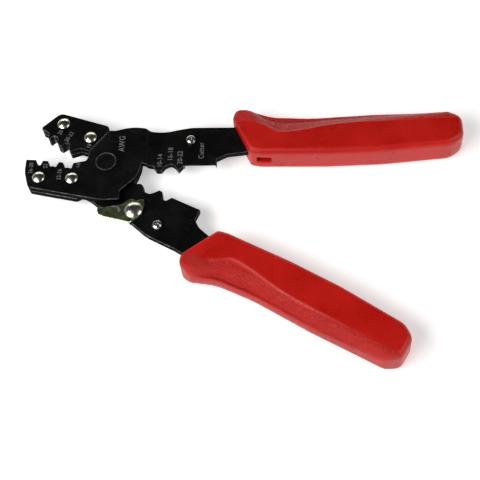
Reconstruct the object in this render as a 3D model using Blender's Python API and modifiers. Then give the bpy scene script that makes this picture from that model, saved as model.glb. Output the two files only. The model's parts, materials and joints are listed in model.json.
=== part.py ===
"""Terminal crimping plier: two crossing stamped levers with riveted die plates, nests, a wire cutter and a lock latch.

Every outline is drawn in millimetres with the plier closed, x towards the grips and y across the levers. The rear
lever and all that rides on it hang on an empty at the pivot, which turns them to the open rest pose.
Heights are measured from the sliding plane between the two lever layers and then shifted, so that the origin is the
middle of the pivot rivet's front face, on the pivot axis. +Z points out of that face.
"""

from math import acos, atan2, ceil, cos, degrees, hypot, pi, radians, sin, tan

import bmesh
import bpy
from mathutils import Matrix, Vector

MM = 0.001

# Driving dimensions, in millimetres and degrees
PLATE = 3.2  # thickness of the levers and of the dies
LAYER_GAP = 0.3  # play between the front and the rear layer
OPEN_ANGLE = 26.5  # turn of the rear lever from closed to its opening stop
STOP_GAP = 0.3  # left between a die and the lever edge it stops against
STACK_GAP = 0.1  # left between stacked flat pieces
HOLE_PLAY = 0.15  # radial gap of a rivet or screw in its hole
GRIP_THICKNESS = 16.0
GRIP_EDGE = {"inner": 3.0, "outer": 7.0, "front": 1.8, "back": 3.2}  # radii of a grip's edges, side by side
GRIP_SPINE = ((75.0, 11.5), (158.0, 11.5))  # the line a grip's edges are rounded over towards
POCKET_PLAY = 0.35  # between a tang and the pocket of its grip

# Heights above the sliding plane
FACE = PLATE + LAYER_GAP / 2  # outer face of either layer
INNER = LAYER_GAP / 2  # inner face of either layer
TANG = PLATE / 2  # half height of a tang, which lies mid-way between the layers
JOGGLE_RISE = FACE - TANG

# Pivot and return spring
PIVOT_HEAD_R = 4.75
PIVOT_SHANK_R = 4.0
PIVOT_POST_R = 3.0
COUNTERSINK = 1.3
WIRE_R = 0.6
COIL_R = 4.95
COIL_PITCH = 1.35
COIL_TOP = -FACE - WIRE_R - 0.15
EYE_R = 2.3
EYE_SWEEP = radians(295)
BOSS_END = -6.75
CAP_R = 6.8
CAP_THICKNESS = 0.7

# Fasteners
DIE_RIVET_R = 1.6
DIE_HEAD_R = 3.1
DIE_HEAD_RISE = 1.45
LATCH_RIVET_R = 2.0
LATCH_HEAD_R = 4.3
LATCH_HEAD_RISE = 1.9
LATCH_SHEET = 1.0
FRICTION_WASHER = 0.4
SCREW_R = 1.25
SCREW_HEAD_R = 2.5
SCREW_HEAD_RISE = 1.9
ANCHOR_WASHER_R = 3.2
ANCHOR_WASHER = 0.4
NUT_FLATS = 5.0
NUT_HEIGHT = 2.0

# Places on the levers, plier closed
LOWER_RIVETS = {"outer": (-32.4, -8.3), "inner": (-16.1, -9.2)}
UPPER_RIVETS = {"outer": (-30.5, 10.0), "inner": (-14.1, 8.7)}
UPPER_ANCHOR = (41.1, 11.9)
LOWER_ANCHOR = (39.8, -19.6)
LATCH_AXIS = (25.9, -17.7)
FRONT_JOGGLE = (18.5, 21.0)
REAR_JOGGLE = (18.5, 21.0)
FRONT_STOP = ((-8.5, 5.8), (0.84, 17.95))  # edge of the front lever that the upper die comes to rest on
REAR_STOP = ((-8.6, -6.0), (-1.8, -20.2))  # edge of the rear lever that the lower die comes to rest on

# The lower lever's handle is the upper one's, mirrored in this line, set back and splayed
MIRROR_Y = -4.8
SET_BACK = 1.4
SPLAY = 2.5
SPLAY_X = 62.0

# Outlines: (x, y, corner radius)
LOWER_TEETH = [
    (-39.6, 2.1, 0.5), (-34.6, 1.8, 0.3), (-33.3, -1.3, 0.3), (-32.2, -1.4, 0.3), (-31.2, 1.3, 0.3),
    (-28.5, 0.95, 0.3), (-27.5, -2.3, 0.4), (-26.0, -1.9, 0.4), (-24.5, -2.6, 0.4), (-23.2, 0.3, 0.3),
    (-21.0, -0.1, 0.3), (-20.1, -3.3, 0.4), (-18.5, -2.9, 0.4), (-16.8, -3.6, 0.4), (-16.0, -0.5, 0.4),
]
UPPER_TEETH = [
    (-34.9, 2.4, 0.2), (-34.2, 2.2, 0.2), (-33.15, -0.6, 0.25), (-32.35, -0.65, 0.25), (-31.4, 2.0, 0.3),
    (-28.8, 1.75, 0.3), (-27.0, -1.55, 0.3), (-24.8, -1.85, 0.3), (-23.6, 1.0, 0.3), (-21.3, 0.8, 0.3),
    (-19.6, -2.45, 0.3), (-18.9, -2.4, 0.3), (-15.2, 1.25, 0.8),
]
UPPER_BLADE = [
    (66.0, 4.4, 1.0), (59.0, 3.7, 4.0), (53.8, 1.0, 0.4), (53.8, -2.6, 0.1), (37.8, -2.3, 0.3),
    (35.5, -5.2, 0.2), (33.9, -2.6, 0.6), (31.7, -1.1, 1.6), (28.9, -2.4, 1.2), (27.4, -4.9, 0.3),
    (24.7, -4.9, 0.3), (23.2, -2.3, 0.6), (17.3, -1.2, 0.6),
]
UPPER_NOSE = [(-39.4, 3.6, 0.6), (-38.6, 2.6, 0.5)]
UPPER_CROWN = [(-9.3, 18.3, 3.0), (-35.2, 14.9, 3.5)]
LOWER_BLADE = [
    (17.4, -2.9, 0.6), (22.0, -3.1, 1.0), (23.9, -4.4, 0.7), (24.0, -6.1, 0.5), (27.7, -6.1, 0.9),
    (29.5, -4.4, 0.8), (31.2, -2.2, 0.6), (32.9, -2.4, 0.5), (34.2, -4.3, 0.5), (34.6, -6.0, 0.4),
    (36.8, -6.0, 0.7), (38.6, -3.3, 0.3), (54.1, -3.4, 0.1), (54.4, -9.3, 0.5), (58.4, -12.2, 4.0),
]
# The stretch of a tang inside its grip, with the barb that snaps into the grip's side window
HIDDEN_TANG = [
    (70.0, 19.0, 1.0), (74.0, 16.5, 3.0), (146.0, 15.0, 2.0), (150.0, 11.5, 2.0), (146.0, 8.0, 2.0),
    (80.2, 6.2, 0.4), (79.6, 3.6, 0.4), (75.4, 4.6, 0.4), (75.0, 5.2, 0.2), (70.0, 5.2, 1.0),
]
POCKET = [
    (50.0, 19.8, 0.5), (70.6, 19.6, 0.6), (74.6, 17.1, 1.5), (147.0, 15.6, 1.0), (151.0, 11.5, 1.0),
    (147.0, 7.4, 1.0), (81.0, 5.6, 0.4), (80.6, 4.5, 0.3), (50.0, 3.6, 0.5),
]
GRIP = [
    (70.2, 1.6, 2.0), (61.6, 20.6, 2.5), (62.8, 25.2, 4.0), (69.8, 27.6, 6.0), (81.0, 23.6, 14.0),
    (100.0, 22.4, 40.0), (132.0, 23.8, 60.0), (165.6, 23.1, 5.0), (172.5, 18.9, 5.0), (172.7, 8.0, 5.0),
    (167.0, 3.3, 8.0), (134.0, 0.4, 60.0), (108.0, -0.2, 60.0), (75.0, 0.6, 6.0),
]
WINDOW = [(73.4, -6.0, 0), (80.4, -6.0, 0), (80.4, 6.5, 0), (73.4, 6.5, 0)]
WINDOW_HEIGHT = 4.2
LATCH = [
    (9.6, -24.2, 0.4), (12.5, -22.4, 3.0), (17.5, -19.6, 3.0), (20.0, -16.2, 2.0), (21.6, -13.2, 1.5),
    (24.8, -12.6, 1.5), (27.4, -10.2, 1.0), (29.0, -12.8, 1.5), (30.2, -17.0, 4.0), (29.2, -21.4, 2.5),
    (27.2, -24.3, 0.8), (14.5, -27.0, 0.6), (12.0, -27.0, 0.8), (10.3, -25.6, 0.6),
]
FLANGE = [(14.5, -27.0, 0.1), (27.2, -24.3, 0.1), (27.0, -23.3, 0.1), (14.3, -26.0, 0.1)]
FLANGE_DROP = 4.2

# The cutter's blades are ground from behind, along their straight edges
BLADE_X = (38.4, 53.7)
BLADE_BEVEL = 2.5
BLADE_LAND = 0.5  # thickness left at the cutting edge

COLOURS = {  # base colour, metallic, roughness
    "black_steel": ((0.008, 0.009, 0.009, 1.0), 0.7, 0.42),
    "nickel": ((0.62, 0.61, 0.58, 1.0), 1.0, 0.18),
    "plated_latch": ((0.55, 0.56, 0.50, 1.0), 1.0, 0.22),
    "spring_steel": ((0.30, 0.30, 0.31, 1.0), 1.0, 0.32),
    "zinc": ((0.52, 0.53, 0.54, 1.0), 1.0, 0.35),
    "red_grip": ((0.50, 0.012, 0.010, 1.0), 0.0, 0.42),
}


def clear_scene():
    for obj in list(bpy.data.objects):
        bpy.data.objects.remove(obj, do_unlink=True)


def new_collection(name):
    collection = bpy.data.collections.new(name)
    bpy.context.scene.collection.children.link(collection)
    return collection


def make_material(name):
    """A fresh Principled material for one piece, from the named finish."""
    colour, metallic, roughness = COLOURS[name]
    material = bpy.data.materials.new(name)
    material.use_nodes = True
    shader = material.node_tree.nodes["Principled BSDF"]
    shader.inputs["Base Color"].default_value = colour
    shader.inputs["Metallic"].default_value = metallic
    shader.inputs["Roughness"].default_value = roughness
    return material


def turned(point, angle, centre=(0.0, 0.0)):
    """The point turned by an angle in degrees about a centre."""
    x, y = point[0] - centre[0], point[1] - centre[1]
    c, s = cos(radians(angle)), sin(radians(angle))
    return (centre[0] + x * c - y * s, centre[1] + x * s + y * c)


def on_lower_handle(points):
    """Outline points of the upper handle as they lie on the lower one."""
    placed = []
    for x, y, radius in points:
        x, y = turned((x - SET_BACK, 2 * MIRROR_Y - y), -SPLAY, (SPLAY_X, MIRROR_Y))
        placed.append((x, y, radius))
    return placed


def stop_edge(edge, angle):
    """The die edge that comes to rest against a lever edge when the plier is open, as (x, y, radius) points."""
    (x0, y0), (x1, y1) = edge
    length = hypot(x1 - x0, y1 - y0)
    side = 1 if y1 > y0 else -1
    away = (-side * (y1 - y0) / length * STOP_GAP, side * (x1 - x0) / length * STOP_GAP)
    ends = [(x + away[0], y + away[1]) for x, y in edge]
    return [(*turned(end, angle), 0.3) for end in ends]


def rounded(points):
    """The outline's points with each corner replaced by an arc of its radius."""
    outline = []
    for i, (x, y, radius) in enumerate(points):
        before, after = points[i - 1], points[(i + 1) % len(points)]
        corner = Vector((x, y))
        back = Vector(before[:2]) - corner
        ahead = Vector(after[:2]) - corner
        turn = pi - back.angle(ahead)
        if radius <= 0 or turn < radians(2):
            outline.append((x, y))
            continue
        reach = min(radius * tan(turn / 2), 0.48 * back.length, 0.48 * ahead.length)
        radius = reach / tan(turn / 2)
        start = corner + back.normalized() * reach
        end = corner + ahead.normalized() * reach
        centre = corner + (back.normalized() + ahead.normalized()).normalized() * radius / cos(turn / 2)
        steps = max(1, ceil(degrees(turn) / 22))
        first = atan2(start.y - centre.y, start.x - centre.x)
        sweep = (atan2(end.y - centre.y, end.x - centre.x) - first + pi) % (2 * pi) - pi
        for k in range(steps + 1):
            angle = first + sweep * k / steps
            outline.append((centre.x + radius * cos(angle), centre.y + radius * sin(angle)))
    return outline


def circle(centre, radius, steps=28):
    return [
        (centre[0] + radius * cos(2 * pi * k / steps), centre[1] + radius * sin(2 * pi * k / steps))
        for k in range(steps)
    ]


def add_object(name, mesh, collection, finish=None, parent=None, z_shift=-FACE):
    """Links a mesh drawn in millimetres as an object in metres, its heights moved to the part's frame."""
    mesh.transform(Matrix.Diagonal((MM, MM, MM, 1.0)) @ Matrix.Translation((0, 0, z_shift)))
    obj = bpy.data.objects.new(name, mesh)
    collection.objects.link(obj)
    if finish:
        mesh.materials.append(make_material(finish))
        mesh.shade_smooth()
        mesh.set_sharp_from_angle(angle=radians(32))
    if parent:
        to_parent(obj, parent)
    return obj


def to_parent(obj, parent):
    """Parents an object drawn in the closed frame: its mesh is moved so that its origin is the parent's axis."""
    obj.parent = parent
    if obj.type == "MESH":
        obj.data.transform(Matrix.Translation(-Vector(parent["drawn_at"])))


def as_cutter(obj):
    obj.hide_render = True
    obj.display_type = "WIRE"
    return obj


def extruded(name, outline, low, high, holes=()):
    """A mesh, in millimetres, of a flat outline with holes, between two heights."""
    curve = bpy.data.curves.new(name, "CURVE")
    curve.dimensions = "2D"
    curve.fill_mode = "BOTH"
    curve.extrude = (high - low) / 2
    for loop in (outline, *holes):
        spline = curve.splines.new("POLY")
        spline.points.add(len(loop) - 1)
        for point, (x, y) in zip(spline.points, loop):
            point.co = (x, y, 0.0, 1.0)
        spline.use_cyclic_u = True
    drawn = bpy.data.objects.new(name, curve)
    bpy.context.scene.collection.objects.link(drawn)
    graph = bpy.context.evaluated_depsgraph_get()
    mesh = bpy.data.meshes.new_from_object(drawn.evaluated_get(graph))
    bpy.data.objects.remove(drawn, do_unlink=True)
    bpy.data.curves.remove(curve)
    mesh.transform(Matrix.Translation((0, 0, (low + high) / 2)))
    with_bmesh(mesh, weld)
    mesh.name = name
    return mesh


def with_bmesh(mesh, change):
    work = bmesh.new()
    work.from_mesh(mesh)
    change(work)
    work.to_mesh(mesh)
    work.free()


def weld(work):
    """Joins the caps to the sides and leaves each flat face whole."""
    bmesh.ops.remove_doubles(work, verts=work.verts, dist=1e-4)
    bmesh.ops.dissolve_limit(work, angle_limit=radians(0.5), verts=work.verts, edges=work.edges)
    bmesh.ops.recalc_face_normals(work, faces=work.faces)


def joggle(mesh, span, rise):
    """Bends a plate drawn flat in the head's layer over to the tang's height, in an S across the span."""
    steps = 6

    def bend(work):
        for k in range(steps + 1):
            x = span[0] + (span[1] - span[0]) * k / steps
            geometry = [*work.verts, *work.edges, *work.faces]
            bmesh.ops.bisect_plane(work, geom=geometry, dist=1e-5, plane_co=(x, 0, 0), plane_no=(1, 0, 0))
        for vertex in work.verts:
            share = min(1.0, max(0.0, (vertex.co.x - span[0]) / (span[1] - span[0])))
            vertex.co.z += rise * share * share * (3 - 2 * share)

    with_bmesh(mesh, bend)


def revolved(name, profile, steps, collection, finish=None, parent=None, centre=(0.0, 0.0)):
    """A turned piece from its outer profile of (radius, height), listed from the top of the axis to the bottom."""
    mesh = bpy.data.meshes.new(name)
    points = [(radius * MM, 0.0, (height - FACE) * MM) for radius, height in profile]
    mesh.from_pydata(points, [(i, i + 1) for i in range(len(points) - 1)], [])
    obj = bpy.data.objects.new(name, mesh)
    collection.objects.link(obj)
    screw = obj.modifiers.new("Screw", "SCREW")
    screw.steps = steps
    screw.render_steps = steps
    screw.use_merge_vertices = True
    screw.merge_threshold = 1e-6
    screw.use_smooth_shade = True
    obj.location = (centre[0] * MM, centre[1] * MM, 0.0)
    if finish:
        mesh.materials.append(make_material(finish))
        edges = obj.modifiers.new("Edges", "EDGE_SPLIT")
        edges.split_angle = radians(180)
    if parent:
        obj.parent = parent
        obj.location -= Vector(parent["drawn_at"])
    return obj


def boolean(obj, cutter, operation="DIFFERENCE"):
    modifier = obj.modifiers.new(cutter.name, "BOOLEAN")
    modifier.operation = operation
    modifier.object = cutter
    return modifier


def dome(radius, rise, base, steps=7):
    """Profile points of a rivet's dome, from the top of the axis to a short upright rim."""
    rim = 0.25
    height = rise - rim
    sphere = (radius * radius + height * height) / (2 * height)
    half = acos((sphere - height) / sphere)
    points = []
    for k in range(steps + 1):
        angle = half * k / steps
        points.append((sphere * sin(angle), base + rise - sphere * (1 - cos(angle))))
    points[-1] = (radius, base + rim)
    return [*points, (radius, base)]


def pivot_empty(name, collection, place, angle=0.0, parent=None):
    """An empty on a joint's axis. drawn_at keeps where its pieces were drawn, in metres."""
    empty = bpy.data.objects.new(name, None)
    collection.objects.link(empty)
    empty.empty_display_size = 0.01
    drawn_at = Vector((place[0] * MM, place[1] * MM, 0.0))
    empty["drawn_at"] = tuple(drawn_at)
    empty.rotation_euler.z = radians(angle)
    empty.location = drawn_at
    if parent:
        empty.parent = parent
        empty.location -= Vector(parent["drawn_at"])
    return empty


def pivot_countersink(cutters):
    """The conical seat of the pivot rivet in the front lever, with its through hole."""
    over = 1.0
    slope = (PIVOT_HEAD_R - PIVOT_SHANK_R) / COUNTERSINK
    profile = [
        (0.0, FACE + over),
        (PIVOT_HEAD_R + HOLE_PLAY + slope * over, FACE + over),
        (PIVOT_SHANK_R + HOLE_PLAY, FACE - COUNTERSINK),
        (PIVOT_SHANK_R + HOLE_PLAY, -FACE - over),
        (0.0, -FACE - over),
    ]
    return as_cutter(revolved("pivot_countersink", profile, 40, cutters))


def blade_cutter(name, edge_y, side, cutters, parent=None):
    """The wedge ground off behind a cutting edge, whose land is left at the tang's front face.

    side is +1 where the blade lies above its edge.
    """
    section = [
        (edge_y - side * 1.0, TANG - BLADE_LAND),
        (edge_y, TANG - BLADE_LAND),
        (edge_y + side * BLADE_BEVEL, -TANG),
        (edge_y + side * BLADE_BEVEL, -TANG - 1.0),
        (edge_y - side * 1.0, -TANG - 1.0),
    ]
    mesh = extruded(f"{name}_bevel", section, *BLADE_X)
    # section (y, z) extruded along x
    mesh.transform(Matrix(((0, 0, 1, 0), (1, 0, 0, 0), (0, 1, 0, 0), (0, 0, 0, 1))))
    with_bmesh(mesh, weld)
    return as_cutter(add_object(f"{name}_bevel", mesh, cutters, parent=parent))


def lever(name, outline, span, layer, holes, parts, parent=None):
    """A stamped lever: head in the front (layer +1) or rear (layer -1) layer, joggled to the mid-height tang."""
    low, high = sorted((layer * INNER, layer * FACE))
    mesh = extruded(name, rounded(outline), low, high, holes)
    joggle(mesh, span, -layer * JOGGLE_RISE)
    return add_object(name, mesh, parts, "black_steel", parent)


def make_front_lever(parts, cutters):
    jaw = [*LOWER_TEETH, (-9.8, 0.7, 1.0), (FRONT_STOP[0][0] - 0.4, FRONT_STOP[0][1] - 3.0, 1.0)]
    crown = [
        (*FRONT_STOP[0], 1.0), (*FRONT_STOP[1], 0.4), (3.8, 17.8, 1.5), (8.3, 19.0, 6.0), (12.9, 19.5, 8.0),
        (17.2, 19.1, 8.0), (23.1, 17.4, 10.0), (28.8, 17.2, 10.0), (35.3, 18.6, 12.0), (41.5, 19.6, 12.0),
    ]
    disc = [
        (17.1, -3.6, 1.5), (16.2, -7.0, 6.0), (14.4, -10.1, 4.0), (7.8, -16.6, 1.6), (7.8, -21.4, 1.1),
        (-1.2, -21.4, 12.0), (-13.6, -18.8, 4.0), (-37.2, -13.6, 1.8), (-39.7, -5.0, 10.0),
    ]
    outline = [*jaw, *crown, *HIDDEN_TANG, *UPPER_BLADE, *disc]
    holes = [circle(place, DIE_RIVET_R + HOLE_PLAY) for place in LOWER_RIVETS.values()]
    holes.append(circle(UPPER_ANCHOR, SCREW_R + HOLE_PLAY))
    front = lever("front_lever", outline, FRONT_JOGGLE, 1, holes, parts)
    boolean(front, pivot_countersink(cutters))
    boolean(front, blade_cutter("front", UPPER_BLADE[4][1], 1, cutters))


def make_rear_lever(parts, cutters, axis):
    throat = [(-9.9, 1.6, 1.2), (*REAR_STOP[0], 1.0), (*REAR_STOP[1], 1.0)]
    foot = [
        (2.5, -20.4, 4.0), (7.0, -21.6, 4.0), (15.0, -22.2, 10.0), (24.5, -22.6, 12.0), (37.5, -26.4, 14.0),
        (53.0, -26.9, 10.0),
    ]
    hidden = on_lower_handle(HIDDEN_TANG)
    disc = [(17.2, 1.0, 1.0), (16.4, 5.3, 4.0), (14.6, 9.8, 4.0), (7.6, 16.4, 3.0), (2.0, 17.2, 3.0), (-6.6, 16.4, 1.0)]
    outline = [*UPPER_TEETH, *throat, *foot, *hidden, *LOWER_BLADE[::-1], *disc, *UPPER_CROWN, *UPPER_NOSE]
    holes = [circle(place, DIE_RIVET_R + HOLE_PLAY) for place in UPPER_RIVETS.values()]
    holes.append(circle(LOWER_ANCHOR, SCREW_R + HOLE_PLAY))
    holes.append(circle(LATCH_AXIS, LATCH_RIVET_R + HOLE_PLAY))
    holes.append(circle((0, 0), PIVOT_SHANK_R + HOLE_PLAY, 40))
    rear = lever("rear_lever", outline, REAR_JOGGLE, -1, holes, parts, axis)
    boolean(rear, blade_cutter("rear", LOWER_BLADE[12][1], -1, cutters, axis))


def make_dies(parts, axis):
    low, high = INNER, FACE
    top, bottom = stop_edge(FRONT_STOP, OPEN_ANGLE)[::-1]
    outline = [*UPPER_TEETH, bottom, top, *UPPER_CROWN, *UPPER_NOSE]
    holes = [circle(place, DIE_RIVET_R + HOLE_PLAY) for place in UPPER_RIVETS.values()]
    mesh = extruded("upper_die", rounded(outline), low, high, holes)
    add_object("upper_die", mesh, parts, "black_steel", axis)

    edge = stop_edge(REAR_STOP, -OPEN_ANGLE)
    outline = [
        *LOWER_TEETH, *edge, (-13.6, -18.8, 2.0), (-37.2, -13.6, 1.8), (-39.7, -5.0, 10.0),
    ]
    holes = [circle(place, DIE_RIVET_R + HOLE_PLAY) for place in LOWER_RIVETS.values()]
    mesh = extruded("lower_die", rounded(outline), -high, -low, holes)
    add_object("lower_die", mesh, parts, "black_steel")


def make_die_rivets(parts, axis):
    """Dome heads in front, and small peened heads behind."""
    front, back = FACE + STACK_GAP, -FACE - STACK_GAP
    profile = [
        *dome(DIE_HEAD_R, DIE_HEAD_RISE, front),
        (DIE_RIVET_R, front), (DIE_RIVET_R, back), (2.5, back), (2.3, back - 0.5), (0.0, back - 0.6),
    ]
    for jaw, places, parent in (("lower", LOWER_RIVETS, None), ("upper", UPPER_RIVETS, axis)):
        for end, place in places.items():
            revolved(f"{jaw}_die_rivet_{end}", profile, 28, parts, "nickel", parent, place)


def make_pivot(parts):
    """A flush countersunk rivet, whose back end is a boss for the coil and a peened post for the cap washer."""
    cap_back = BOSS_END - STACK_GAP - CAP_THICKNESS
    profile = [
        (0.0, FACE), (PIVOT_HEAD_R - 0.15, FACE), (PIVOT_HEAD_R, FACE - 0.15),
        (PIVOT_SHANK_R, FACE - COUNTERSINK), (PIVOT_SHANK_R, BOSS_END), (PIVOT_POST_R, BOSS_END),
        (PIVOT_POST_R, cap_back - STACK_GAP), (PIVOT_POST_R + 0.8, cap_back - STACK_GAP),
        (PIVOT_POST_R + 0.4, cap_back - 0.35), (0.0, cap_back - 0.4),
    ]
    revolved("pivot_rivet", profile, 40, parts, "black_steel")
    holes = [circle((0, 0), PIVOT_POST_R + HOLE_PLAY)]
    mesh = extruded("spring_cap_washer", circle((0, 0), CAP_R, 40), cap_back, cap_back + CAP_THICKNESS, holes)
    add_object("spring_cap_washer", mesh, parts, "zinc")


def make_latch(parts, axis, latch_axis):
    """The latch plate with its bent thumb flange, the friction washer under it and the rivet it turns on."""
    bottom = TANG + STACK_GAP
    sheet_low = bottom + FRICTION_WASHER + STACK_GAP
    sheet_high = sheet_low + LATCH_SHEET
    hole = [circle(LATCH_AXIS, LATCH_RIVET_R + HOLE_PLAY)]
    mesh = extruded("lock_latch", rounded(LATCH), sheet_low, sheet_high, hole)
    latch = add_object("lock_latch", mesh, parts, "plated_latch", latch_axis)
    flange_mesh = extruded("latch_flange", rounded(FLANGE), sheet_high - FLANGE_DROP, sheet_low + 0.3)
    flange = as_cutter(add_object("latch_flange", flange_mesh, bpy.data.collections["cutters"], parent=latch_axis))
    boolean(latch, flange, "UNION")
    mesh = extruded("latch_friction_washer", circle(LATCH_AXIS, 4.2), bottom, bottom + FRICTION_WASHER, hole)
    add_object("latch_friction_washer", mesh, parts, "spring_steel", axis)
    front, back = sheet_high + STACK_GAP, -TANG - STACK_GAP
    profile = [
        *dome(LATCH_HEAD_R, LATCH_HEAD_RISE, front, 8),
        (LATCH_RIVET_R, front), (LATCH_RIVET_R, back), (3.2, back), (2.9, back - 0.6), (0.0, back - 0.7),
    ]
    revolved("latch_rivet", profile, 32, parts, "nickel", axis, LATCH_AXIS)


def recess_cutters(name, centre, top, cutters, parent):
    """The cross recess of a screw: two crossed slots, tapering down."""
    blades = []
    for angle in (20.0, 110.0):
        bpy.ops.mesh.primitive_cube_add(size=1.0)
        slot = bpy.context.object
        slot.name = f"{name}_recess_{angle:.0f}"
        mesh = slot.data
        mesh.transform(Matrix.Diagonal((2.7, 0.62, 2.4, 1.0)))
        for vertex in mesh.vertices:
            if vertex.co.z < 0:
                vertex.co.x *= 0.45
        mesh.transform(Matrix.Rotation(radians(angle), 4, "Z"))
        mesh.transform(Matrix.Translation((centre[0], centre[1], top - FACE)))
        mesh.transform(Matrix.Diagonal((MM, MM, MM, 1.0)))
        for holder in list(slot.users_collection):
            holder.objects.unlink(slot)
        cutters.objects.link(slot)
        if parent:
            to_parent(slot, parent)
        blades.append(as_cutter(slot))
    return blades


def make_anchor(name, place, parts, cutters, parent=None):
    """A pan-head screw through a tang, with the washer and nut that clamp a spring eye behind it."""
    front, back = TANG + STACK_GAP, -TANG - STACK_GAP
    washer_high = back - 2 * WIRE_R - STACK_GAP
    nut_high = washer_high - ANCHOR_WASHER - STACK_GAP
    tip = nut_high - NUT_HEIGHT - 0.4
    profile = [
        (0.0, front + SCREW_HEAD_RISE), (1.5, front + SCREW_HEAD_RISE - 0.1), (2.15, front + SCREW_HEAD_RISE - 0.5),
        (SCREW_HEAD_R - 0.05, front + 0.9), (SCREW_HEAD_R, front + 0.3), (SCREW_HEAD_R, front),
        (SCREW_R, front), (SCREW_R, tip + 0.3), (SCREW_R - 0.3, tip), (0.0, tip),
    ]
    screw = revolved(f"{name}_anchor_screw", profile, 28, parts, "nickel", parent, place)
    for slot in recess_cutters(name, place, front + SCREW_HEAD_RISE + 0.1, cutters, parent):
        boolean(screw, slot)
    hole = [circle(place, SCREW_R + HOLE_PLAY)]
    mesh = extruded("anchor_washer", circle(place, ANCHOR_WASHER_R), washer_high - ANCHOR_WASHER, washer_high, hole)
    add_object(f"{name}_anchor_washer", mesh, parts, "zinc", parent)
    corner = NUT_FLATS / 2 / cos(pi / 6)
    mesh = extruded("anchor_nut", circle(place, corner, 6), nut_high - NUT_HEIGHT, nut_high, hole)
    add_object(f"{name}_anchor_nut", mesh, parts, "zinc", parent)


def spring_route():
    """The wire's centre line: eye, leg, coil, leg, eye, with the plier open."""
    ends = [UPPER_ANCHOR, turned(LOWER_ANCHOR, -OPEN_ANGLE)]
    contact = []
    for end, side in zip(ends, (1, -1)):
        contact.append(atan2(end[1], end[0]) + side * acos((COIL_R - EYE_R) / hypot(*end)))
    first, last = contact[0], contact[1] + 4 * pi
    eye_z = -TANG - STACK_GAP - WIRE_R
    coil_drop = COIL_PITCH * (last - first) / (2 * pi)

    def eye(end, start, stop):
        steps = 16
        angles = [start + (stop - start) * k / steps for k in range(steps + 1)]
        return [(end[0] + EYE_R * cos(a), end[1] + EYE_R * sin(a), eye_z) for a in angles]

    def leg(end, angle, coil_z):
        """From the coil to the eye: level behind the head, then up to the tang's back."""
        steps = 14
        points = []
        for k in range(1, steps):
            t = k / steps
            share = min(1.0, max(0.0, (t - 0.5) / 0.4))
            height = coil_z + (eye_z - coil_z) * share * share * (3 - 2 * share)
            radius = COIL_R + (EYE_R - COIL_R) * t
            points.append((end[0] * t + radius * cos(angle), end[1] * t + radius * sin(angle), height))
        return points

    coil_steps = 40
    coil = []
    for k in range(coil_steps + 1):
        angle = first + (last - first) * k / coil_steps
        coil.append((COIL_R * cos(angle), COIL_R * sin(angle), COIL_TOP - coil_drop * k / coil_steps))
    return [
        *eye(ends[0], first - EYE_SWEEP, first),
        *reversed(leg(ends[0], first, COIL_TOP)),
        *coil,
        *leg(ends[1], last, COIL_TOP - coil_drop),
        *eye(ends[1], last, last + EYE_SWEEP),
    ]


def make_spring(parts):
    route = spring_route()
    curve = bpy.data.curves.new("return_spring", "CURVE")
    curve.dimensions = "3D"
    curve.bevel_depth = WIRE_R * MM
    curve.bevel_resolution = 2
    curve.use_fill_caps = True
    spline = curve.splines.new("POLY")
    spline.points.add(len(route) - 1)
    for point, (x, y, z) in zip(spline.points, route):
        point.co = (x * MM, y * MM, (z - FACE) * MM, 1.0)
    curve.materials.append(make_material("spring_steel"))
    parts.objects.link(bpy.data.objects.new("return_spring", curve))


def eased(value, low, high):
    share = min(1.0, max(0.0, (value - low) / (high - low)))
    return share * share * (3 - 2 * share)


def grip_edge(x, y):
    """The radius that a grip's edge has at a place of its outline: small in front, large along the outer side."""
    radius = GRIP_EDGE["inner"] + (GRIP_EDGE["outer"] - GRIP_EDGE["inner"]) * eased(y, 7.0, 20.0)
    radius += (GRIP_EDGE["back"] - radius) * eased(x, 158.0, 170.0)
    return radius + (GRIP_EDGE["front"] - radius) * eased(x, 72.0, 64.0)


def sleeve(name, outline, place):
    """A grip's solid: its outline is full at mid-height and drawn in towards the spine at the faces."""
    half, steps = GRIP_THICKNESS / 2, 5
    (spine_start, spine_y), (spine_end, _) = GRIP_SPINE
    vertices = []
    for side in (-1, 1):
        for k in range(steps + 1):
            angle = pi / 2 * (k - steps if side < 0 else k) / steps
            for x, y in outline:
                radius = grip_edge(x, y)
                inward = Vector((min(max(x, spine_start), spine_end) - x, spine_y - y)).normalized()
                inset = radius * (1 - cos(angle))
                height = side * (half - radius) + radius * sin(angle)
                vertices.append((x + inward.x * inset, y + inward.y * inset, height))
    count, rings = len(outline), 2 * (steps + 1)
    faces = [list(range(count)), list(range((rings - 1) * count, rings * count))]
    for ring in range(rings - 1):
        for k in range(count):
            a, b = ring * count + k, ring * count + (k + 1) % count
            faces.append((a, b, b + count, a + count))
    mesh = bpy.data.meshes.new(name)
    mesh.from_pydata(place(vertices), [], faces)
    with_bmesh(mesh, lambda work: bmesh.ops.recalc_face_normals(work, faces=work.faces))
    return mesh


def make_grip(name, place, parts, cutters, parent=None):
    """A moulded sleeve with a pocket for the tang, and a window in its inner side for the tang's barb."""
    grip = add_object(name, sleeve(name, rounded(GRIP), place), parts, "red_grip", parent)
    openings = {"pocket": (POCKET, TANG + POCKET_PLAY), "window": (WINDOW, WINDOW_HEIGHT / 2)}
    for opening, (outline, reach) in openings.items():
        mesh = extruded(f"{name}_{opening}", rounded(place(outline)), -reach, reach)
        boolean(grip, as_cutter(add_object(f"{name}_{opening}", mesh, cutters, parent=parent)))


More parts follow.
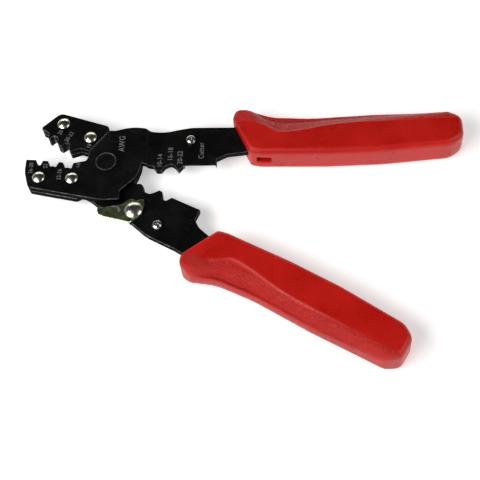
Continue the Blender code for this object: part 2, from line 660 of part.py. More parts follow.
def main():
    clear_scene()
    parts = new_collection("terminal_crimping_plier")
    cutters = new_collection("cutters")
    axis = pivot_empty("rear_lever_axis", parts, (0, 0), -OPEN_ANGLE)
    latch_axis = pivot_empty("latch_axis", parts, LATCH_AXIS, 0.0, axis)
    make_front_lever(parts, cutters)
    make_rear_lever(parts, cutters, axis)
    make_dies(parts, axis)
    make_die_rivets(parts, axis)
    make_pivot(parts)
    make_latch(parts, axis, latch_axis)
    make_anchor("upper", UPPER_ANCHOR, parts, cutters)
    make_anchor("lower", LOWER_ANCHOR, parts, cutters, axis)
    make_spring(parts)
    make_grip("upper_grip", list, parts, cutters)
    make_grip("lower_grip", on_lower_handle, parts, cutters, axis)


main()
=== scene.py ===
"""Looks of the terminal crimping plier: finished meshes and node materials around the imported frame."""

from math import acos, cos, radians, sin

import bmesh
import bpy
import numpy as np
from mathutils import Matrix, Vector
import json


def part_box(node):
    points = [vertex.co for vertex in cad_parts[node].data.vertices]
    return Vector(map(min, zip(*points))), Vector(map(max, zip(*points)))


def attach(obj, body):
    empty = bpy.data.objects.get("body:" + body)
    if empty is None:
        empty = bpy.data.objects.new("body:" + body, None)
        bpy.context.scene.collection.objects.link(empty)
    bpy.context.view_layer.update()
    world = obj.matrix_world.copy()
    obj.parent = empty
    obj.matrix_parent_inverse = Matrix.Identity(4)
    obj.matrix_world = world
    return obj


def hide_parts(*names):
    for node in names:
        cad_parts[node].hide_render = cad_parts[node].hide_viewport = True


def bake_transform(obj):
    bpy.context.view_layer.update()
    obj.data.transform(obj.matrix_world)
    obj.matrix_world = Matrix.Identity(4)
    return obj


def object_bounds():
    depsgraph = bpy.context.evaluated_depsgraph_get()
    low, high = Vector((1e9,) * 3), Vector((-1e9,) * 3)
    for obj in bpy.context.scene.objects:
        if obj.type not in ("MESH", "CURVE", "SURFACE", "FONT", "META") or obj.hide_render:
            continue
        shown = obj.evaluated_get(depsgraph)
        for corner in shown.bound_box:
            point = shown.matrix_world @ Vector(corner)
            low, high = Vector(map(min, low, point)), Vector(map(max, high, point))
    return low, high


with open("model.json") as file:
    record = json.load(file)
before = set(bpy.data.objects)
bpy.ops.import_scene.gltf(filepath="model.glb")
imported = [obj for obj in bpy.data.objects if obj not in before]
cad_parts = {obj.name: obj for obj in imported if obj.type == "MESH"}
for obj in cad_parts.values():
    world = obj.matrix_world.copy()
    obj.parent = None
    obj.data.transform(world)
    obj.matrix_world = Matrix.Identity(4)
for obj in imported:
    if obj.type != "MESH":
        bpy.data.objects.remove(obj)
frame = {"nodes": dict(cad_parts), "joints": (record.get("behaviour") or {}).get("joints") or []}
CAD_BOX = [list(corner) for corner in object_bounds()]

MM = 0.001
FRONT, REAR, LATCH = "front_half", "rear_half", "latch"
OPEN_ANGLE = radians({joint["name"]: joint for joint in frame["joints"]}["main_pivot"]["range_deg"][1])

# The camera looks down on the front face through a long lens, and leans back about a line close to the X axis
CAMERA_LEAN = radians(28.490)
CAMERA_LEAN_LINE = radians(8.450)  # from +X
CAMERA_TARGET = Vector((0.06595, -0.04294, -0.00335))
CAMERA_DISTANCE = 0.5072
CAMERA_LENS = 81.6

# Heights, in millimetres, from the front face of the head
MID_PLANE = -3.35
TANG_FACE = -1.75
HEAD_FACE = 0.0

# How part.py lays the lower handle out from the upper one
MIRROR_Y = -4.8
SET_BACK = 1.4
SPLAY = radians(2.5)
SPLAY_X = 62.0

# The finger hollow of a grip: spans run along it from the pivot, widths run across it from the crease
CREASE_WAIST = 85.0
CREASE_NEAREST = 11.7
HOLLOW_START = (70.0, 77.5)
STEP_END = (112.0, 148.0)
STEP_DEPTH = 0.55
STEP_WIDTH = 2.0
SLOPE_END = (140.0, 168.0)
SLOPE_FALL = 0.30
SLOPE_WIDTH = 8.0
HOLLOW_HEIGHTS = (3.0, 6.5)  # from mid-plane: the sides stay, the faces sink

# Edges and fasteners, in millimetres
SHARP = radians(25)
PLATE_EDGE = 0.17
RIVET_GAP = 0.10

RINGS_SCALE = 256.83  # of the wave node that draws the turned rings, per metre

NICKEL = (0.84, 0.81, 0.70)
SCREW_NICKEL = (0.62, 0.61, 0.57)
ZINC = (0.56, 0.57, 0.59)
DARK_WASHER = (0.34, 0.34, 0.35)
LATCH_NICKEL = (0.90, 0.89, 0.80)
# Painted reflection: an olive tint for the latch's faces, standing for the surroundings they mirror
LATCH_FACE_PAINTED_REFLECTION = (0.60, 0.74, 0.40)


def turned(x, y, angle, cx=0.0, cy=0.0):
    """Points turned about a centre, as two arrays or numbers."""
    c, s = cos(angle), sin(angle)
    return cx + (x - cx) * c - (y - cy) * s, cy + (x - cx) * s + (y - cy) * c


# ---- Node materials ----


class Finish:
    """A Principled material under construction. Sizes are in millimetres on the object."""

    def __init__(self, name, seed=0.0):
        self.material = bpy.data.materials.new(name)
        self.material.use_nodes = True
        self.tree = self.material.node_tree
        self.shader = self.tree.nodes["Principled BSDF"]
        coordinates = self.tree.nodes.new("ShaderNodeTexCoord")
        self.normal = coordinates.outputs["Normal"]
        self.origin = coordinates.outputs["Object"]
        self.place = self.stretched((1, 1, 1), (seed * 0.013, seed * 0.007, seed * 0.011))

    def feed(self, socket, value):
        if isinstance(value, bpy.types.NodeSocket):
            self.tree.links.new(value, socket)
        else:
            socket.default_value = value

    def node(self, kind, inputs, output=0, **settings):
        made = self.tree.nodes.new("ShaderNode" + kind)
        for key, value in settings.items():
            setattr(made, key, value)
        for key, value in inputs.items():
            self.feed(made.inputs[key], value)
        return made.outputs[output]

    def stretched(self, scale, shift=(0, 0, 0), turn=(0, 0, 0), base=None):
        inputs = {"Vector": base or self.origin, "Location": shift, "Rotation": turn, "Scale": scale}
        return self.node("Mapping", inputs)

    def noise(self, size, detail=2.0, roughness=0.5, place=None):
        inputs = {
            "Vector": place or self.place,
            "Scale": 1 / (size * MM),
            "Detail": detail,
            "Roughness": roughness,
        }
        return self.node("TexNoise", inputs)

    def cells(self, size, place):
        """The distance from the edge between random cells."""
        inputs = {"Vector": place, "Scale": 1 / (size * MM)}
        return self.node("TexVoronoi", inputs, feature="DISTANCE_TO_EDGE")

    def ramp(self, value, low, high, to_low=0.0, to_high=1.0):
        inputs = {"Value": value, "From Min": low, "From Max": high, "To Min": to_low, "To Max": to_high}
        return self.node("MapRange", inputs, interpolation_type="SMOOTHSTEP")

    def sum(self, operation, a, b=0.0):
        return self.node("Math", {0: a, 1: b}, operation=operation, use_clamp=False)

    def mix(self, share, a, b):
        made = self.tree.nodes.new("ShaderNodeMix")
        made.data_type = "RGBA"
        self.feed(made.inputs[0], share)
        self.feed(made.inputs[6], a)
        self.feed(made.inputs[7], b)
        return made.outputs[2]

    def blend(self, share, a, b):
        return self.node("Mix", {0: share, 2: a, 3: b})

    def axis(self, vector, name):
        made = self.tree.nodes.new("ShaderNodeSeparateXYZ")
        self.tree.links.new(vector, made.inputs[0])
        return made.outputs[name]

    def steepness(self, low=0.3, high=0.8):
        """0 on faces that look along the pivot axis, 1 on the sheared sides."""
        return self.ramp(self.sum("ABSOLUTE", self.axis(self.normal, "Z")), high, low, 0.0, 1.0)

    def bump(self, height, strength, depth, below=None):
        inputs = {"Height": height, "Strength": strength, "Distance": depth * MM}
        if below:
            inputs["Normal"] = below
        return self.node("Bump", inputs)

    def done(self, **sockets):
        for key, value in sockets.items():
            self.feed(self.shader.inputs[key.replace("_", " ")], value)
        return self.material


def grey(level, tint=(1.0, 1.0, 1.0)):
    return (level * tint[0], level * tint[1], level * tint[2], 1.0)


def black_steel(name, seed=0.0, turned_rings=False):
    """Blackened stamped plate: satin faces with fine grain and scratches, rougher greyer sheared sides."""
    m = Finish(name, seed)
    cloud = m.noise(13, 3.0, 0.55)
    blotch = m.noise(3.2, 3.0, 0.6)
    grain = m.noise(0.13, 3.0, 0.6)
    speck = m.ramp(m.noise(0.34, 2.0), 0.64, 0.74)
    fine = m.stretched((1 / 9, 1, 1), turn=(0, 0, radians(24)), base=m.place)
    cross = m.stretched((1 / 14, 1, 1), turn=(0, 0, radians(-51)), base=m.place)
    scratch = m.sum("MAXIMUM", m.ramp(m.noise(0.30, 1.0, 0.5, fine), 0.69, 0.73),
                    m.ramp(m.noise(0.34, 1.0, 0.5, cross), 0.71, 0.74))
    sheared = m.stretched((1, 1, 1 / 16), base=m.place)
    drag = m.noise(0.22, 2.0, 0.6, sheared)
    side = m.steepness()

    deep, thin = grey(0.0022, (0.96, 1.05, 1.0)), grey(0.0045, (0.98, 1.05, 1.0))
    colour = m.mix(m.ramp(cloud, 0.35, 0.68), deep, thin)
    blotches = m.sum("MULTIPLY", m.ramp(blotch, 0.55, 0.75), 0.35)
    colour = m.mix(blotches, colour, grey(0.008, (1.05, 1.0, 0.95)))
    colour = m.mix(m.sum("MULTIPLY", speck, 0.30), colour, grey(0.026))
    colour = m.mix(m.sum("MULTIPLY", scratch, 0.30), colour, grey(0.050))
    side_colour = m.mix(m.ramp(drag, 0.3, 0.7), grey(0.008, (1.0, 1.0, 1.05)), grey(0.030, (1.0, 1.0, 1.06)))
    colour = m.mix(side, colour, side_colour)

    roughness = m.ramp(cloud, 0.3, 0.7, 0.33, 0.44)
    roughness = m.sum("ADD", roughness, m.ramp(grain, 0.3, 0.7, -0.03, 0.05))
    roughness = m.blend(side, roughness, m.ramp(drag, 0.3, 0.7, 0.34, 0.52))

    relief = m.bump(grain, 0.22, 0.02)
    relief = m.bump(m.sum("MULTIPLY", scratch, -1.0), 0.25, 0.015, relief)
    relief = m.bump(m.sum("MULTIPLY", drag, side), 0.5, 0.07, relief)
    if turned_rings:
        rings = m.node(
            "TexWave", {"Vector": m.origin, "Scale": RINGS_SCALE},
            wave_type="RINGS", rings_direction="Z",
        )
        relief = m.bump(rings, 0.10, 0.006, relief)
    return m.done(
        Base_Color=colour, Roughness=roughness, Normal=relief, Metallic=side, Specular_IOR_Level=0.26,
        Specular_Tint=(0.40, 0.40, 0.42, 1.0),
    )


def worn_edge(name, seed=0.0, bright=0.26):
    """The black rubbed thin along an edge, down to steel in places."""
    m = Finish(name, seed)
    patch = m.noise(2.6, 4.0, 0.65)
    nick = m.noise(0.5, 2.0)
    bare = m.ramp(m.sum("ADD", patch, m.sum("MULTIPLY", nick, 0.35)), 0.60, 0.80)
    colour = m.mix(bare, grey(0.030), grey(bright, (1.0, 0.99, 0.97)))
    return m.done(
        Base_Color=colour,
        Metallic=m.sum("MULTIPLY", bare, 0.85),
        Roughness=m.ramp(nick, 0.3, 0.7, 0.30, 0.46),
        Normal=m.bump(nick, 0.3, 0.03),
    )


def etched(name, seed=0.0, level=0.27):
    """Marks bitten through the black into grey steel, patchy as an acid etch is."""
    m = Finish(name, seed)
    patch = m.noise(0.55, 3.0, 0.7)
    pits = m.noise(0.12, 2.0)
    colour = m.mix(m.ramp(patch, 0.30, 0.62), grey(level * 0.38), grey(level, (1.0, 1.0, 0.97)))
    return m.done(
        Base_Color=colour,
        Metallic=0.25,
        Roughness=m.ramp(pits, 0.3, 0.7, 0.52, 0.72),
        Normal=m.bump(pits, 0.5, 0.02),
    )


def plated(name, seed, colour=NICKEL, rough=(0.20, 0.28), brushed=0.0, tarnish=0.18, flat=None):
    """Nickel or zinc plate with hairlines and tarnish. flat, if given, is a painted reflection colour for the
    faces that look along the pivot axis, while the sides keep the plate colour.
    """
    m = Finish(name, seed)
    cloud = m.noise(2.6, 3.0, 0.6)
    spot = m.ramp(m.noise(0.8, 3.0, 0.65), 0.62, 0.80)
    hair = m.noise(0.12, 2.0, 0.6, m.stretched((1 / 24, 1, 1), turn=(0, 0, radians(12)), base=m.place))
    dark = (colour[0] * 0.62, colour[1] * 0.60, colour[2] * 0.52, 1.0)
    # With flat given, the faces take a painted reflection colour and the sides the plate colour
    shade = m.mix(m.steepness(), (*flat, 1.0), (*colour, 1.0)) if flat else (*colour, 1.0)
    shade = m.mix(m.ramp(cloud, 0.35, 0.75, 0.0, tarnish), shade, dark)
    shade = m.mix(m.sum("MULTIPLY", spot, tarnish), shade, dark)
    roughness = m.sum("ADD", m.ramp(cloud, 0.3, 0.7, rough[0], rough[1]), m.sum("MULTIPLY", spot, 0.14))
    relief = m.bump(hair, 0.10 + brushed, 0.012)
    return m.done(Base_Color=shade, Metallic=1.0, Roughness=roughness, Normal=relief)


def drawn_wire(name, seed=0.0):
    """Oil-tempered spring wire, with faint die lines and a brown cast in random patches."""
    m = Finish(name, seed)
    cloud = m.noise(3.5, 3.0, 0.6)
    lines = m.noise(0.10, 2.0)
    colour = m.mix(m.ramp(cloud, 0.4, 0.7), grey(0.30, (1.0, 1.0, 1.02)), grey(0.16, (1.1, 0.95, 0.8)))
    return m.done(
        Base_Color=colour,
        Metallic=1.0,
        Roughness=m.ramp(cloud, 0.3, 0.7, 0.26, 0.42),
        Normal=m.bump(lines, 0.25, 0.02),
    )


def grip_pvc(name, seed=0.0):
    """Moulded red PVC: a leather grain, stronger on the outer band, with painted shade in its crevices, and a
    parting line round the sides.
    """
    m = Finish(name, seed)
    drift = m.node("TexNoise", {"Vector": m.place, "Scale": 700.0}, 1)
    warp = m.node("VectorMath", {0: drift, "Scale": 0.0009}, operation="SCALE")
    bent = m.node("VectorMath", {0: m.place, 1: warp}, operation="ADD")
    pebble = m.ramp(m.cells(0.95, bent), 0.0, 0.22)
    crumb = m.ramp(m.cells(0.42, bent), 0.0, 0.25)
    soft = m.noise(1.6, 3.0, 0.6)
    cloud = m.noise(16, 3.0, 0.5)
    fine = m.noise(0.16, 2.0)
    grain = m.sum("ADD", m.sum("MULTIPLY", pebble, 0.62), m.sum("MULTIPLY", crumb, 0.26))
    grain = m.sum("ADD", grain, m.sum("MULTIPLY", soft, 0.5))

    colour = m.mix(m.ramp(cloud, 0.3, 0.7), (0.500, 0.0046, 0.0015, 1.0), (0.590, 0.0068, 0.0023, 1.0))
    # Painted shade: the grain's crevices, near the cell edges, are darkened
    colour = m.mix(m.ramp(pebble, 0.35, 0.0, 0.0, 0.12), colour, (0.400, 0.0030, 0.0020, 1.0))

    height = m.sum("ADD", m.axis(m.origin, "Z"), -MID_PLANE * MM)
    seam = m.ramp(m.sum("ABSOLUTE", height), 0.10 * MM, 0.24 * MM, 1.0, 0.0)
    seam = m.sum("MULTIPLY", seam, m.steepness(0.2, 0.5))
    roughness = m.ramp(pebble, 0.0, 0.8, 0.42, 0.29)
    roughness = m.sum("ADD", roughness, m.ramp(cloud, 0.3, 0.7, -0.03, 0.05))
    band = m.node("Attribute", {}, "Fac", attribute_name="outer_band")
    relief = m.bump(m.sum("MULTIPLY", grain, m.ramp(band, 0.0, 1.0, 0.30, 1.25)), 0.95, 0.20)
    relief = m.bump(fine, 0.18, 0.02, relief)
    relief = m.bump(seam, 0.6, 0.10, relief)
    return m.done(
        Base_Color=colour, Roughness=roughness, Normal=relief, Specular_IOR_Level=0.50, IOR=1.42,
        Subsurface_Weight=0.04, Subsurface_Radius=(0.0012, 0.0003, 0.0003), Subsurface_Scale=1.0,
    )


# ---- Pieces ----


def linked(name, mesh, materials):
    """A new object in the scene with its materials."""
    obj = bpy.data.objects.new(name, mesh)
    bpy.context.scene.collection.objects.link(obj)
    for material in materials:
        mesh.materials.append(material)
    return obj


def changed(mesh, change):
    """Edits a mesh in place through a bmesh."""
    work = bmesh.new()
    work.from_mesh(mesh)
    change(work)
    work.to_mesh(mesh)
    work.free()
    mesh.update()


def whole_faces(work):
    """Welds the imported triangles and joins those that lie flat, so that a bevel meets only true edges."""
    bmesh.ops.remove_doubles(work, verts=work.verts, dist=1e-7)
    bmesh.ops.dissolve_limit(work, angle_limit=radians(0.4), verts=work.verts, edges=work.edges)
    bmesh.ops.recalc_face_normals(work, faces=work.faces)


def plain_tips(work):
    """Gathers the arcs that are smaller than a plate's broken edge into one or two corners."""
    small = [v for v in work.verts if min(edge.calc_length() for edge in v.link_edges) < 0.13 * MM]
    bmesh.ops.remove_doubles(work, verts=small, dist=0.25 * MM)
    bmesh.ops.recalc_face_normals(work, faces=work.faces)


def finished(node, body, face, edge, width, segments=2):
    """A CAD node with its edges broken. The broken edges take the worn material."""
    mesh = frame["nodes"][node].data.copy()
    mesh.materials.clear()
    changed(mesh, whole_faces)
    if edge:
        changed(mesh, plain_tips)
    mesh.shade_smooth()
    mesh.set_sharp_from_angle(angle=SHARP)
    piece = linked(f"{node}_finished", mesh, [face, edge] if edge else [face])
    bevel = piece.modifiers.new("Broken edges", "BEVEL")
    bevel.width = width * MM
    bevel.segments = segments
    bevel.limit_method = "ANGLE"
    bevel.angle_limit = SHARP
    bevel.use_clamp_overlap = False
    bevel.harden_normals = True
    bevel.miter_outer = "MITER_ARC"
    if edge:
        bevel.material = 1
    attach(piece, body)
    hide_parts(node)


def mesh_of(obj):
    """The evaluated mesh of an object, which is then removed."""
    graph = bpy.context.evaluated_depsgraph_get()
    mesh = bpy.data.meshes.new_from_object(obj.evaluated_get(graph))
    bpy.data.objects.remove(obj, do_unlink=True)
    return mesh


def spun(name, profile, centre, steps=56):
    """A turned mesh from (radius, height) points, top to bottom, in millimetres."""
    mesh = bpy.data.meshes.new(name)
    points = [(radius * MM, 0.0, height * MM) for radius, height in profile]
    mesh.from_pydata(points, [(i, i + 1) for i in range(len(points) - 1)], [])
    obj = bpy.data.objects.new(name, mesh)
    bpy.context.scene.collection.objects.link(obj)
    screw = obj.modifiers.new("Turn", "SCREW")
    screw.steps = steps
    screw.render_steps = steps
    screw.use_merge_vertices = True
    screw.merge_threshold = 1e-6
    made = mesh_of(obj)
    made.transform(Matrix.Translation((centre[0], centre[1], 0)))
    made.name = name
    changed(made, lambda work: bmesh.ops.recalc_face_normals(work, faces=work.faces))
    made.shade_smooth()
    made.set_sharp_from_angle(angle=radians(35))
    return made


def middle(node):
    """The middle of a node's box in plan."""
    low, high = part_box(node)
    return ((low.x + high.x) / 2, (low.y + high.y) / 2)


def dome(radius, rise, base, rim, steps=14):
    """A rivet's dome over a small rounded rim, from the top of the axis outwards and down."""
    height = rise - rim
    sphere = (radius * radius + height * height) / (2 * height)
    half = acos((sphere - height) / sphere)
    angles = [half * k / steps for k in range(steps)]
    points = [(sphere * sin(angle), base + rise - sphere * (1 - cos(angle))) for angle in angles]
    points += [(radius - 0.04, base + rim + 0.05), (radius, base + rim - 0.04)]
    return [*points, (radius, base + 0.08), (radius - 0.08, base)]


def rivet(node, body, material, base, rim, back_radius):
    """A domed rivet, its tail peened over with the hammer's flat on it. base is the height under its head."""
    low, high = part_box(node)
    radius = (high.x - low.x) / 2 / MM
    top, bottom = high.z / MM, low.z / MM
    profile = dome(radius, top - base, base, rim)
    shank = back_radius * 0.62
    back = bottom + 0.62
    profile += [(shank, base), (shank, back), (back_radius - 0.06, back), (back_radius, back - 0.08)]
    profile += [(back_radius - 0.05, back - 0.25), (back_radius * 0.86, back - 0.48)]
    profile += [(back_radius * 0.6, bottom + 0.04), (back_radius * 0.45, bottom), (0.0, bottom + 0.02)]
    piece = linked(f"{node}_finished", spun(node, profile, middle(node)), [material])
    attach(piece, body)
    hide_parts(node)


def crease(u):
    """Across-the-grip place of the S-shaped crease between the flat of the face and the finger hollow."""
    near = 6.0 * (1 - np.exp(-(((u - CREASE_WAIST) / 7.0) ** 2)))
    far = 5.0 * (1 - np.exp(-(((u - CREASE_WAIST) / 22.0) ** 2)))
    return CREASE_NEAREST + np.where(u < CREASE_WAIST, near, far)


def eased(value, low, high):
    """A smooth step from 0 at low to 1 at high."""
    t = np.clip((value - low) / (high - low), 0.0, 1.0)
    return t * t * (3 - 2 * t)


def grip(node, body, material, lower):
    """The sleeve as moulded: soft edges, and faces that drop past an S-shaped crease into a finger hollow."""
    obj = linked(node + "_block", frame["nodes"][node].data.copy(), [])
    remesh = obj.modifiers.new("Remesh", "REMESH")
    remesh.mode = "VOXEL"
    remesh.voxel_size = 0.55 * MM
    smooth = obj.modifiers.new("Smooth", "SMOOTH")
    smooth.factor = 0.5
    smooth.iterations = 4
    mesh = mesh_of(obj)
    mesh.materials.clear()
    points = np.empty(len(mesh.vertices) * 3)
    mesh.vertices.foreach_get("co", points)
    points = points.reshape(-1, 3)
    u, v = points[:, 0] / MM, points[:, 1] / MM
    if lower:
        u, v = turned(u, v, OPEN_ANGLE)
        u, v = turned(u, v, SPLAY, SPLAY_X, MIRROR_Y)
        u, v = u + SET_BACK, 2 * MIRROR_Y - v
    height = points[:, 2] / MM - MID_PLANE
    past = v - crease(u)
    reach = eased(u, *HOLLOW_START) * (1 - eased(u, *STEP_END))
    slope = eased(u, *HOLLOW_START) * (1 - eased(u, *SLOPE_END))
    step = 1 - (1 - np.clip(past / STEP_WIDTH, 0.0, 1.0)) ** 2
    sunk = STEP_DEPTH * reach * step + SLOPE_FALL * slope * np.clip(past, 0.0, SLOPE_WIDTH)
    sunk *= eased(np.abs(height), *HOLLOW_HEIGHTS)
    points[:, 2] -= np.sign(height) * sunk * MM
    points[:, 2] = np.clip(points[:, 2], CAD_BOX[0][2] + 0.01 * MM, CAD_BOX[1][2] - 0.01 * MM)
    mesh.vertices.foreach_set("co", points.ravel())
    band = mesh.attributes.new("outer_band", "FLOAT", "POINT")
    band.data.foreach_set("value", eased(past, 0.0, STEP_WIDTH))
    mesh.shade_smooth()
    piece = linked(f"{node}_moulded", mesh, [material])
    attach(piece, body)
    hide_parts(node)


def spring(material):
    """The wire, rounded by smooth shading."""
    mesh = frame["nodes"]["return_spring"].data.copy()
    mesh.materials.clear()
    changed(mesh, lambda work: bmesh.ops.remove_doubles(work, verts=work.verts, dist=1e-7))
    mesh.shade_smooth()
    piece = linked("return_spring_wire", mesh, [material])
    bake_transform(piece)
    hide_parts("return_spring")


def mark(name, body, text, size, place, turn, height, material):
    """Etched characters: a skin a hundredth of a millimetre proud of the plate."""
    curve = bpy.data.curves.new(name, "FONT")
    curve.body = text
    curve.size = size * MM
    curve.align_x = "CENTER"
    curve.align_y = "CENTER"
    curve.extrude = 0.02 * MM
    curve.offset = 0.008 * MM
    curve.resolution_u = 3
    curve.space_character = 1.08
    obj = bpy.data.objects.new(name, curve)
    bpy.context.scene.collection.objects.link(obj)
    mesh = mesh_of(obj)
    mesh.transform(Matrix.Diagonal((0.86, 1, 1, 1)))  # the letters are narrow
    mesh.transform(Matrix.Rotation(turn, 4, "Z"))
    mesh.transform(Matrix.Translation((place[0] * MM, place[1] * MM, height * MM - 0.008 * MM)))
    changed(mesh, lambda work: bmesh.ops.remove_doubles(work, verts=work.verts, dist=1e-8))
    mesh.name = name
    piece = linked(name, mesh, [material])
    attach(piece, body)


def opened(x, y):
    """A place drawn on the closed rear lever, as it lies with the plier open."""
    return turned(x, y, -OPEN_ANGLE)


def arrow(name, body, centre, turn, height, material):
    """A curved arrow that shows which way the latch swings."""
    radius, width = 2.6, 0.42
    outline = []
    start, stop, steps = radians(150), radians(40), 10
    for k in range(steps + 1):
        angle = start + (stop - start) * k / steps
        outline.append(((radius + width / 2) * cos(angle), (radius + width / 2) * sin(angle)))
    tip = [(radius + 0.8, stop), (radius, stop - radians(34)), (radius - 0.8, stop)]
    outline += [(r * cos(a), r * sin(a)) for r, a in tip]
    for k in range(steps + 1):
        angle = stop + (start - stop) * k / steps
        outline.append(((radius - width / 2) * cos(angle), (radius - width / 2) * sin(angle)))
    mesh = bpy.data.meshes.new(name)
    work = bmesh.new()
    face = work.faces.new([work.verts.new((x * MM, y * MM, 0.0)) for x, y in outline])
    raised = bmesh.ops.extrude_face_region(work, geom=[face])["geom"]
    for item in raised:
        if isinstance(item, bmesh.types.BMVert):
            item.co.z += 0.03 * MM
    bmesh.ops.recalc_face_normals(work, faces=work.faces)
    work.to_mesh(mesh)
    work.free()
    mesh.transform(Matrix.Rotation(turn, 4, "Z"))
    mesh.transform(Matrix.Translation((centre[0] * MM, centre[1] * MM, (height - 0.018) * MM)))
    piece = linked(name, mesh, [material])
    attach(piece, body)


# ---- Stage ----


def make_camera():
    data = bpy.data.cameras.new("camera")
    data.lens = CAMERA_LENS
    data.sensor_width = 36.0
    data.clip_start = 0.01
    data.clip_end = 20.0
    camera = bpy.data.objects.new("camera", data)
    bpy.context.scene.collection.objects.link(camera)
    lean = Matrix.Rotation(CAMERA_LEAN, 4, Vector((cos(CAMERA_LEAN_LINE), sin(CAMERA_LEAN_LINE), 0.0)))
    back = Matrix.Translation((0, 0, CAMERA_DISTANCE))
    camera.matrix_world = Matrix.Translation(CAMERA_TARGET) @ lean @ back
    bpy.context.scene.camera = camera


def make_floor():
    mesh = bpy.data.meshes.new("floor")
    work = bmesh.new()
    bmesh.ops.create_grid(work, x_segments=2, y_segments=2, size=2.5)
    work.to_mesh(mesh)
    work.free()
    m = Finish("floor_paper")
    soft = m.noise(60, 3.0)
    colour = m.mix(m.ramp(soft, 0.3, 0.7), grey(0.93), grey(0.95))
    m.done(
        Base_Color=colour, Roughness=0.9, Specular_IOR_Level=0.05,
        Emission_Color=grey(1.0), Emission_Strength=0.40,
    )
    floor = linked("floor", mesh, [m.material])
    floor.location.z = CAD_BOX[0][2] - 0.3 * MM


def area(name, direction, distance, size, power, colour=(1, 1, 1)):
    light = bpy.data.lights.new(name, "AREA")
    light.shape = "RECTANGLE"
    light.size, light.size_y = size
    light.energy = power
    light.color = colour
    obj = bpy.data.objects.new(name, light)
    bpy.context.scene.collection.objects.link(obj)
    aim = Vector(direction).normalized()
    obj.location = CAMERA_TARGET + aim * distance
    side = Vector((0, 0, 1)).cross(aim).normalized()
    turn = Matrix((side, aim.cross(side), aim)).transposed()
    obj.rotation_euler = turn.to_euler()


def make_lights():
    area("left_box", (-0.58, -0.38, 0.72), 0.95, (0.80, 0.42), 8.4, (1.0, 0.995, 0.975))
    area("right_box", (0.80, -0.16, 0.60), 1.0, (0.55, 0.40), 3.0, (0.99, 0.995, 1.0))
    area("back_strip", (-0.20, 0.95, 0.26), 1.0, (0.90, 0.22), 1.6)
    world = bpy.data.worlds.new("studio")
    world.use_nodes = True
    bpy.context.scene.world = world
    tree = world.node_tree
    background = tree.nodes["Background"]
    place = tree.nodes.new("ShaderNodeTexCoord")
    split = tree.nodes.new("ShaderNodeSeparateXYZ")
    tree.links.new(place.outputs["Generated"], split.inputs[0])
    band = tree.nodes.new("ShaderNodeValToRGB")
    band.color_ramp.interpolation = "EASE"
    stops = band.color_ramp.elements
    stops[0].position = 0.0
    stops[0].color = (0.42, 0.42, 0.42, 1.0)
    stops[1].position = 0.45
    stops[1].color = (0.018, 0.018, 0.017, 1.0)
    tree.links.new(split.outputs["Z"], band.inputs[0])
    tree.links.new(band.outputs[0], background.inputs["Color"])
    background.inputs["Strength"].default_value = 1.0
    bpy.context.scene.view_settings.view_transform = "Standard"


# ---- Assembly ----


def make_steel():
    plates = [
        ("front_lever", FRONT, "front_lever_steel", 1),
        ("rear_lever", REAR, "rear_lever_steel", 2),
        ("upper_die", REAR, "upper_die_steel", 3),
        ("lower_die", FRONT, "lower_die_steel", 4),
    ]
    for node, body, slot, seed in plates:
        face, edge = black_steel(f"{node}_black", seed), worn_edge(f"{node}_edges", seed)
        finished(node, body, face, edge, PLATE_EDGE)
    finished(
        "pivot_rivet", FRONT, black_steel("pivot_black", 5, turned_rings=True),
        worn_edge("pivot_edge", 5, 0.10), 0.10,
    )


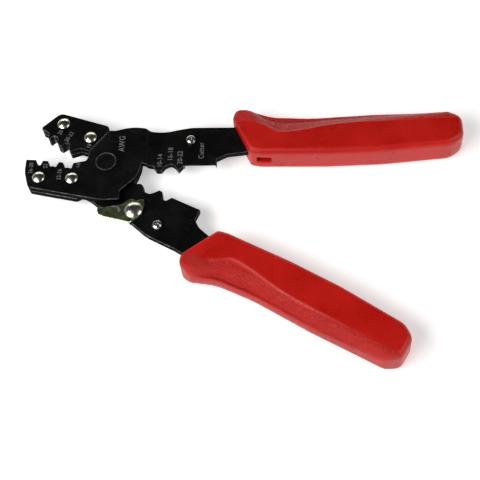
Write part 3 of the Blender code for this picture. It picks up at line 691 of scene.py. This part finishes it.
def make_fasteners():
    die_rivets = [
        ("upper_die_rivet_outer", REAR),
        ("upper_die_rivet_inner", REAR),
        ("lower_die_rivet_outer", FRONT),
        ("lower_die_rivet_inner", FRONT),
    ]
    under_head = HEAD_FACE + RIVET_GAP
    for k, (node, body) in enumerate(die_rivets):
        rivet(node, body, plated(f"rivet_nickel_{k}", 10 + k), under_head, 0.28, 2.5)
    latch_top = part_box("lock_latch")[1].z / MM
    nickel = plated("latch_rivet_nickel", 15)
    rivet("latch_rivet", REAR, nickel, latch_top + RIVET_GAP, 0.32, 3.2)
    for k, (end, body) in enumerate((("upper", FRONT), ("lower", REAR))):
        screw = plated(f"screw_nickel_{end}", 20 + k, SCREW_NICKEL, (0.16, 0.28))
        finished(f"{end}_anchor_screw", body, screw, None, 0.07)
        washer = plated(f"washer_zinc_{end}", 24 + k, ZINC, (0.30, 0.46), 0.1)
        finished(f"{end}_anchor_washer", body, washer, None, 0.07)
        nut = plated(f"nut_zinc_{end}", 28 + k, ZINC, (0.26, 0.42), 0.1)
        finished(f"{end}_anchor_nut", body, nut, None, 0.18)
    cap = plated("cap_zinc", 32, ZINC, (0.28, 0.44), 0.1)
    finished("spring_cap_washer", FRONT, cap, None, 0.12)
    friction = plated("friction_steel", 33, DARK_WASHER, (0.26, 0.40))
    finished("latch_friction_washer", REAR, friction, None, 0.08)


def make_latch():
    # The latch's faces take a painted olive reflection; its sides keep the pale nickel
    skin = plated("latch_nickel_and_painted_reflection", 40, LATCH_NICKEL, (0.22, 0.32), 0.18, 0.16, flat=LATCH_FACE_PAINTED_REFLECTION)
    finished("lock_latch", LATCH, skin, None, 0.12, 3)
    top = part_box("lock_latch")[1].z / MM
    dark = etched("latch_etch", 41, 0.30)
    arrow("latch_arrow", LATCH, opened(17.6, -22.2), -OPEN_ANGLE, top, dark)


def make_marks():
    ink = etched("gauge_etch", 50)
    up = radians(90)
    tang = [("10-14", 26.3, 0.7), ("16-18", 31.3, 4.4), ("20-22", 36.1, 2.3)]
    for k, (text, x, y) in enumerate(tang):
        mark(f"tang_gauge_{k}", FRONT, text, 3.6, (x, y), up, TANG_FACE, ink)
    mark("cutter_word", FRONT, "Cutter", 3.7, (46.4, 6.0), up, TANG_FACE, ink)
    mark("gauge_unit", FRONT, "AWG", 4.2, (7.4, 10.0), up, HEAD_FACE, ink)
    lower = [("26-28", -36.7, -2.9), ("22", -29.6, -1.9), ("22-26", -22.3, -6.9), ("14", -13.3, -2.1)]
    for k, (text, x, y) in enumerate(lower):
        mark(f"lower_gauge_{k}", FRONT, text, 2.9, (x, y), up, HEAD_FACE, ink)
    upper = [("20", -29.3, 5.0), ("20-22", -23.9, 4.6), ("18", -12.2, 4.1)]
    for k, (text, x, y) in enumerate(upper):
        place = opened(x, y)
        mark(f"upper_gauge_{k}", REAR, text, 2.9, place, up - OPEN_ANGLE, HEAD_FACE, ink)


def main():
    make_camera()
    make_floor()
    make_lights()
    make_steel()
    make_fasteners()
    make_latch()
    spring(drawn_wire("spring_wire", 60))
    grip("upper_grip", FRONT, grip_pvc("grip_upper_pvc", 70), False)
    grip("lower_grip", REAR, grip_pvc("grip_lower_pvc", 71), True)
    make_marks()


main()
